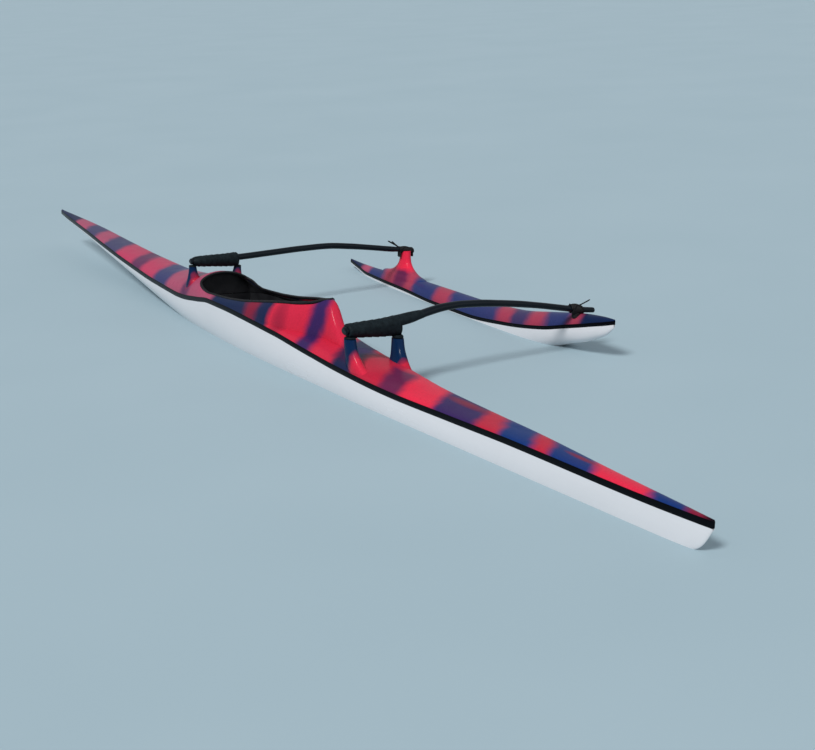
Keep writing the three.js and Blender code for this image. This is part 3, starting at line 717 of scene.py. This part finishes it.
def tube(table, x0, start, end, steps, grow, sides=40, sag=0.0):
    """An oval tube along a boom, grown by what grow gives for a place and an angle."""
    z_at, width_at, height_at = (curve(table, c) for c in (1, 2, 3))
    rings = []
    for i in range(steps + 1):
        y = start + (end - start) * i / steps
        slope = math.atan2(z_at(y + 0.002) - z_at(y - 0.002), 0.004)
        low = sag * (y + WRAP_HALF) / (2 * WRAP_HALF)
        ring = []
        for k in range(sides):
            angle = 2 * math.pi * k / sides
            extra = grow(y, angle)
            under = low * max(0.0, -math.sin(angle)) ** 0.6
            rise = (height_at(y) + extra) * math.sin(angle) - under
            ring.append((
                x0 + (width_at(y) + extra) * math.cos(angle),
                y - rise * math.sin(slope),
                z_at(y) + rise * math.cos(slope),
            ))
        rings.append(ring)
    return loft(rings)


def rounded(start, end, radius):
    """Growth that rounds off both ends of a tube."""
    def grow(y, angle):
        near = min(y - start, end - y)
        return -radius * (1 - math.sqrt(max(0.0, 1 - (1 - min(1.0, near / radius)) ** 2)))
    return grow


def wound(start, end, thickness, pitch, step, taper):
    """Growth of a strip wound in overlapping turns, thinned at both ends, by a taper at its start."""
    def grow(y, angle):
        near = min(1.0, (y - start + 0.0005) / taper, (end - y + 0.0005) / 0.006)
        turn = (y - start) / pitch + angle / (2 * math.pi)
        lap = turn - math.floor(turn)
        ripple = 0.0006 * math.sin(5 * angle + 40 * y)
        return (thickness - step + step * lap ** 0.6 + ripple) * math.sqrt(near) + 0.0006
    return grow


def feathered(start, end, thickness):
    """Growth of a wound strip's tail, thickest on top and running out to nothing."""
    def grow(y, angle):
        t = (y - start) / (end - start)
        return 0.0008 + thickness * (1 - t ** 2.5) * (0.5 + 0.5 * math.sin(angle))
    return grow


def cord_path(points, radius, sides=10):
    """A round cord through points, with its ends closed and slightly pinched."""
    path = [Vector(p) for p in points]
    rings = []
    side = Vector((0, 0.3, 1))
    for i, centre in enumerate(path):
        along = (path[min(i + 1, len(path) - 1)] - path[max(i - 1, 0)]).normalized()
        side = side - along * side.dot(along)
        side.normalize()
        thin = 0.55 if i in (0, len(path) - 1) else 1.0
        rings.append(round_ring(centre, side, along.cross(side), radius * thin, sides))
    return loft(rings)


def boom_point(table, x0, y, angle, extra):
    """A point round a boom's section, outside its surface by an extra."""
    z_at, width_at, height_at = (curve(table, c) for c in (1, 2, 3))
    return (
        x0 + (width_at(y) + extra) * math.cos(angle),
        y,
        z_at(y) + (height_at(y) + extra) * math.sin(angle),
    )


def binding(table, x0, middle, turns, radius, tail_radius, tails):
    """A cord wound round a boom's end, crossed over once, with its loose ends in the knot."""
    parts = []
    count = 22 * turns
    reach = turns * radius * 1.02
    coil = []
    for i in range(count + 1):
        y = middle - reach + 2 * reach * i / count
        coil.append(boom_point(table, x0, y, 2 * math.pi * i / 22, radius))
    parts.append(cord_path(coil, radius))
    for lean in (-1, 1):
        cross = []
        for i in range(15):
            t = i / 14
            y = middle + lean * reach * 0.85 * (2 * t - 1)
            cross.append(boom_point(table, x0, y, math.pi * (0.08 + 0.84 * t), 2.4 * radius))
        parts.append(cord_path(cross, radius))
    for first, last, droop in tails:
        start, end = Vector(first), Vector(last)
        bend = (start + end) / 2 - Vector((0, 0, droop))
        arc = []
        for i in range(13):
            t = i / 12
            arc.append(start * (1 - t) ** 2 + bend * 2 * t * (1 - t) + end * t * t)
        parts.append(cord_path(arc, tail_radius))
    return join_meshes(parts)


def hoops(x0, y0, low, high, reach, radius, squeeze=1.0):
    """Cord wound round an upright neck, turn on turn."""
    turns = max(2, round((high - low) / (2 * radius)))
    coil = []
    for i in range(20 * turns + 1):
        angle = 2 * math.pi * i / 20
        z = low + radius + (high - low - 2 * radius) * i / (20 * turns)
        coil.append((x0 + reach * math.cos(angle), y0 + reach * squeeze * math.sin(angle), z))
    return cord_path(coil, radius)


def drum(x0, y0, low, high, radius, squeeze=1.0):
    """A short upright cylinder with softened edges, squeezed across the boat."""
    rings = []
    for z, share in ((low, 0.9), (low + 0.002, 1.0), (high - 0.002, 1.0), (high, 0.9)):
        r = radius * share
        rings.append([(x0 + r * c, y0 + r * squeeze * s, z) for c, s in circle(36)])
    return loft(rings)


# The pad's edge from below to above: share of its reach and share of its height
PAD_PROFILE = [
    (0.5, 0.0), (0.9, 0.03), (0.985, 0.3), (1.0, 0.46), (0.992, 0.5), (1.0, 0.54), (0.985, 0.72),
    (0.93, 0.9), (0.8, 0.97), (0.6, 1.0), (0.4, 1.0), (0.2, 1.0),
]


def pad_mesh(x0, x1, half, low, high, corner):
    """A soft crowned pad with a seam round its edge and a shallow channel for each leg."""
    mesh = bpy.data.meshes.new("pad")
    bm = bmesh.new()
    middle = 0.5 * (x0 + x1)
    reach = 0.5 * (x1 - x0)
    count = 96
    rings = []
    for share, rise in PAD_PROFILE:
        ring = []
        for c, s in circle(count):
            u = math.copysign(abs(c) ** corner, c) * share
            v = math.copysign(abs(s) ** corner, s) * share
            z = low + (high - low) * rise
            if rise > 0.9:
                crown = PAD_CROWN * (1 - u * u) * (1 - v * v)
                channel = PAD_CHANNEL * math.exp(-((abs(v) - 0.45) / 0.2) ** 2) * max(0.0, u)
                z += crown - channel
            ring.append(bm.verts.new((middle + reach * u, half * v, z)))
        rings.append(ring)
    for near, far in zip(rings, rings[1:]):
        for j in range(count):
            k = (j + 1) % count
            bm.faces.new((near[j], near[k], far[k], far[j]))
    for ring, z in ((rings[0], low), (rings[-1], high + PAD_CROWN)):
        centre = bm.verts.new((middle, 0, z))
        for j in range(count):
            bm.faces.new((centre, ring[j], ring[(j + 1) % count]))
    bmesh.ops.recalc_face_normals(bm, faces=bm.faces)
    bm.to_mesh(mesh)
    bm.free()
    return mesh


def build_hull():
    stations = spread(-HALF_LENGTH, HALF_LENGTH, 240, 0.6)
    shell = open_hull(stations, half_at, keel_at, band_foot, SHELL)
    piece("hull_shell", shell, white, ["hull_bottom"])
    stripe = stripe_loop(stations, half_at, seam_at, BAND_HALF, BAND_PROUD, BAND_DEEP)
    piece("sheer_stripe", stripe, stripe_black, ["hull_seam_band"])
    fore = crown_deck(spread(COCKPIT_FRONT, HALF_LENGTH, 140, 0.3), half_at, band_top, crest_at)
    piece("fore_deck_skin", fore, hull_paint_and_light, ["fore_deck"])
    aft = crown_deck(spread(-HALF_LENGTH, COCKPIT_AFT, 140, 0.3), half_at, band_top, crest_at)
    piece("aft_deck_skin", aft, hull_paint_and_light, ["aft_deck"])
    coaming = cockpit_shell(0.0, SHELL, 0.0)
    piece("cockpit_coaming", coaming, hull_paint_and_light, ["cockpit_surround"], angle=50)
    depth = SHELL + LINING_GAP
    ends = LINING_GAP + LINING
    walls = [
        loft([surround_ring(x, depth), surround_ring(x + LINING, depth)])
        for x in (COCKPIT_AFT + LINING_GAP, COCKPIT_FRONT - ends)
    ]
    lining = join_meshes([cockpit_shell(depth, depth + LINING, ends), *walls])
    piece("cockpit_lining", lining, laminate, ["cockpit_surround"], angle=50)
    piece("cockpit_rim_bead", rim_bead(RIM_BEAD_RADIUS), trim_black, ["cockpit_trim"])
    pad = pad_mesh(**SEAT_PAD)
    piece("seat_cushion", pad, foam, ["seat_pad"], angle=60)


# Each boom: its tube, place, wrap thickness, pitch, sag and taper, posts, post tops and saddle radius
BOOMS = {
    "front": dict(
        tube=FRONT_BOOM, x=FRONT_X, thick=0.012, pitch=0.034, sag=0.029, taper=0.006,
        post=FRONT_POST, tops={"port": 0.235, "starboard": 0.248}, saddle=0.026,
        paint={"port": port_paint, "starboard": starboard_paint},
    ),
    "aft": dict(
        tube=AFT_BOOM, x=AFT_X, thick=0.011, pitch=0.030, sag=0.020, taper=0.03,
        post=AFT_POST, tops={"port": 0.268, "starboard": 0.280}, saddle=0.021,
        paint={"port": aft_paint, "starboard": aft_paint},
    ),
}


def build_posts():
    for name, boom in BOOMS.items():
        for side, sign in (("port", 1), ("starboard", -1)):
            low = boom["tops"][side]
            post = upright(boom["post"], boom["x"], sign, low, deck_height)
            paint = boom["paint"][side]
            piece(f"{name}_{side}_post_skin", post, paint, [f"{name}_post_{side}"])
            x = boom["x"] + boom["post"][-1][1] / 1000
            y = sign * boom["post"][-1][2] / 1000
            sag = boom["sag"] * (y + WRAP_HALF) / (2 * WRAP_HALF)
            under = curve(boom["tube"])(y) - curve(boom["tube"], 3)(y) - boom["thick"] - sag
            high = under + SADDLE_OVERLAP
            reach = boom["saddle"] - SADDLE_CORD
            block = drum(x, y, low, high, reach, SADDLE_SQUEEZE)
            turns = hoops(x, y, low, high, reach, SADDLE_CORD, SADDLE_SQUEEZE)
            saddle = join_meshes([block, turns])
            piece(f"{name}_{side}_saddle_wrap", saddle, rubber, [f"{name}_saddle_{side}"])


def build_booms():
    for name, boom in BOOMS.items():
        table, x0 = boom["tube"], boom["x"]
        start, end = table[0][0] / 1000, table[-1][0] / 1000
        arm = tube(table, x0, start, end, 260, rounded(start, end, 0.006))
        piece(f"{name}_boom_tube", arm, boom_black, [f"{name}_boom"])
        strip = wound(-WRAP_HALF, WRAP_HALF, boom["thick"], boom["pitch"], 0.003, boom["taper"])
        wrap = tube(table, x0, -WRAP_HALF, WRAP_HALF, 200, strip, 56, boom["sag"])
        piece(f"{name}_wound_wrap", wrap, rubber, [f"{name}_boom_wrap"], angle=24)
    start = WRAP_HALF - 0.004
    runout = feathered(start, WRAP_TAIL_END, WRAP_TAIL_THICK)
    tail = tube(FRONT_BOOM, FRONT_X, start, WRAP_TAIL_END, 50, runout)
    piece("front_wrap_tail", tail, rubber, ["front_boom_wrap"])


def build_float():
    table = [[(row[0], row[c]) for row in FLOAT_SECTIONS] for c in (1, 2, 3, 4)]
    half, keel, seam, crest = (curve(rows) for rows in table)
    stations = spread(FLOAT_SECTIONS[0][0] / 1000, FLOAT_SECTIONS[-1][0] / 1000, 170, 0.6)

    def low(x):
        return seam(x) - FLOAT_EDGE

    def high(x):
        return seam(x) + FLOAT_EDGE

    def ground(x, y):
        share = min(1.0, abs(y) / half(x))
        return high(x) + (crest(x) - high(x)) * math.sqrt(1 - share * share)

    shell = open_hull(stations, half, keel, low, FLOAT_SHELL)
    piece("float_shell", shell, white, ["float_hull"], FLOAT_PLACE)
    stripe = stripe_loop(stations, half, seam, FLOAT_EDGE, 0.001, 0.008)
    piece("float_stripe", stripe, stripe_black, ["float_seam_band"], FLOAT_PLACE)
    deck = crown_deck(stations, half, high, crest)
    piece("float_deck_skin", deck, float_paint, ["float_deck"], FLOAT_PLACE)
    pylon = upright(PYLON, AFT_X - FRONT_X, 1, PYLON[-1][0] / 1000, ground, 44, 64)
    piece("float_pylon_skin", pylon, pylon_paint, ["float_pylon"], FLOAT_PLACE)


# Lashings: middle of the coil across the boat, turns, radius of the cord and of its loose ends,
# and of each loose end the start, the tip and how far its middle droops
LASHINGS = {
    "front": dict(
        middle=1.046, turns=9, radius=0.0035, tail_radius=0.003,
        tails=[
            ((FRONT_X, 1.041, 0.305), (FRONT_X, 1.1224, 0.3337), 0.004),
            ((FRONT_X, 1.0065, 0.306), (FRONT_X, 1.0113, 0.3224), -0.001),
        ],
    ),
    "aft": dict(
        middle=1.129, turns=17, radius=0.0025, tail_radius=0.004,
        tails=[
            ((AFT_X, 1.092, 0.322), (AFT_X, 1.0168, 0.3626), -0.003),
            ((AFT_X - 0.004, 1.092, 0.322), (AFT_X, 1.0421, 0.3587), 0.003),
        ],
    ),
}
# Windings over the chocks: place across the boat, lowest and highest point, reach
FRONT_NECK = (1.048, 0.252, 0.284, 0.0165)
AFT_LEGS_Y = (1.091, 1.168)
AFT_LEG = (0.272, 0.304, 0.014)
AFT_LEG_SQUEEZE = 0.3


def build_bindings():
    for name, boom in BOOMS.items():
        cords = binding(boom["tube"], boom["x"], **LASHINGS[name])
        piece(f"{name}_binding", cords, cord_black, [f"{name}_float_lashing"])
    neck = join_meshes([drum(FRONT_X, *FRONT_NECK), hoops(FRONT_X, *FRONT_NECK, 0.003)])
    piece("front_neck_winding", neck, cord_black, ["front_float_chock"])
    legs = []
    low, high, reach = AFT_LEG
    for y in AFT_LEGS_Y:
        legs.append(drum(AFT_X, y, low, high, reach, AFT_LEG_SQUEEZE))
        legs.append(hoops(AFT_X, y, low, high, reach - 0.0005, 0.0025, AFT_LEG_SQUEEZE))
    piece("aft_neck_winding", join_meshes(legs), cord_black, ["aft_float_chock"])


def dress_nodes():
    """Paints for the solids that show as they are."""
    for name, material in (("cockpit_tub", laminate), ("seat", laminate), ("foot_rest", trim_black)):
        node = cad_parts[name]
        node.data.materials.clear()
        node.data.materials.append(material)


FLOOR_DARK = (0.34, 0.45, 0.50)
FLOOR_LIGHT = (0.36, 0.47, 0.52)
SKY = (0.86, 0.92, 1.0, 1)
SKY_STRENGTH = 0.4
# Soft suns: energy, angle in degrees and the direction that they stand in
SUNS = [(2.4, 16, (0.4, -0.7, 0.9)), (0.5, 60, (0.9, 0.5, 0.8))]
# The keel comes out of the water at these two places along the hull
WATERLINE_ENDS = (-1.19, 3.16)
# Half length and half width of the floor's fine middle, and the radius of its far edge
FLOOR_MIDDLE = (6, 5)
FLOOR_REACH = 400
# How far the floor's edge lies inside the hull's skin
FLOOR_INSET = 0.003


def waterline(x, side):
    """Where the floor meets the heeled hull on one side, just inside the hull's skin."""
    top = band_foot(x)
    low, high = 0.0, half_at(x)
    for _ in range(30):
        y = 0.5 * (low + high)
        share = (y / half_at(x)) ** SECTION_POWER
        z = top - (top - keel_at(x)) * (1 - share) ** (1 / SECTION_POWER)
        if z < side * y * math.tan(HEEL):
            low = y
        else:
            high = y
    return side * max(0.0, low - FLOOR_INSET) / math.cos(HEEL)


def floor_mesh(count=160):
    """The floor as a wide flat ring round the hull, so that it stays out of the cockpit."""
    aft, fore = WATERLINE_ENDS
    middle, reach = 0.5 * (aft + fore), 0.5 * (fore - aft)
    inner, near, far = [], [], []
    for i in range(count):
        angle = 2 * math.pi * (i + 0.5) / count
        c, s = math.cos(angle), math.sin(angle)
        x = middle + reach * c
        inner.append((x, waterline(x, math.copysign(1, s)), 0))
        near.append((middle + FLOOR_MIDDLE[0] * c, FLOOR_MIDDLE[1] * s, 0))
        far.append((FLOOR_REACH * c, FLOOR_REACH * s, 0))
    return loft([inner, near, far], caps=False)


def build_stage():
    mesh = floor_mesh()
    floor = bpy.data.objects.new("floor", mesh)
    bpy.context.scene.collection.objects.link(floor)
    look = Look("floor_pale")
    tone = look.mix(look.spread(look.noise(0.7, 2), 0, 1), rgba(FLOOR_DARK), rgba(FLOOR_LIGHT))
    mesh.materials.append(look.surface(tone, 0.7))
    world = bpy.data.worlds.new("studio")
    world.use_nodes = True
    world.node_tree.nodes["Background"].inputs["Color"].default_value = SKY
    world.node_tree.nodes["Background"].inputs["Strength"].default_value = SKY_STRENGTH
    bpy.context.scene.world = world
    for energy, wide, direction in SUNS:
        light = bpy.data.lights.new("soft", "SUN")
        light.energy = energy
        light.angle = math.radians(wide)
        lamp = bpy.data.objects.new("soft", light)
        lamp.rotation_mode = "QUATERNION"
        lamp.rotation_quaternion = Vector(direction).to_track_quat("Z", "Y")
        bpy.context.scene.collection.objects.link(lamp)


# The camera, solved from points of the picture: place, yaw, pitch and roll in degrees, focal length
CAMERA_AT = (6.428, -2.7874, 1.7925)
CAMERA_YAW, CAMERA_PITCH, CAMERA_ROLL = -209.078, 15.926, 2.564
FOCAL_PIXELS = 1482.91
PICTURE_WIDTH = 815
SENSOR = 36.0


def build_camera():
    yaw, pitch, roll = (math.radians(a) for a in (CAMERA_YAW, CAMERA_PITCH, CAMERA_ROLL))
    ahead = Vector((math.cos(pitch) * math.cos(yaw), math.cos(pitch) * math.sin(yaw), -math.sin(pitch)))
    level = Vector((math.sin(yaw), -math.cos(yaw), 0))
    below = ahead.cross(level)
    right = level * math.cos(roll) + below * math.sin(roll)
    down = below * math.cos(roll) - level * math.sin(roll)
    data = bpy.data.cameras.new("camera")
    data.sensor_width = SENSOR
    data.sensor_fit = "HORIZONTAL"
    data.lens = FOCAL_PIXELS * SENSOR / PICTURE_WIDTH
    data.clip_end = 1000
    camera = bpy.data.objects.new("camera", data)
    matrix = Matrix((right, -down, -ahead)).transposed().to_4x4()
    matrix.translation = Vector(CAMERA_AT)
    camera.matrix_world = matrix
    bpy.context.scene.collection.objects.link(camera)
    bpy.context.scene.camera = camera
    bpy.context.scene.view_settings.view_transform = "Standard"


build_camera()
build_stage()
build_hull()
build_posts()
build_booms()
build_float()
build_bindings()
dress_nodes()
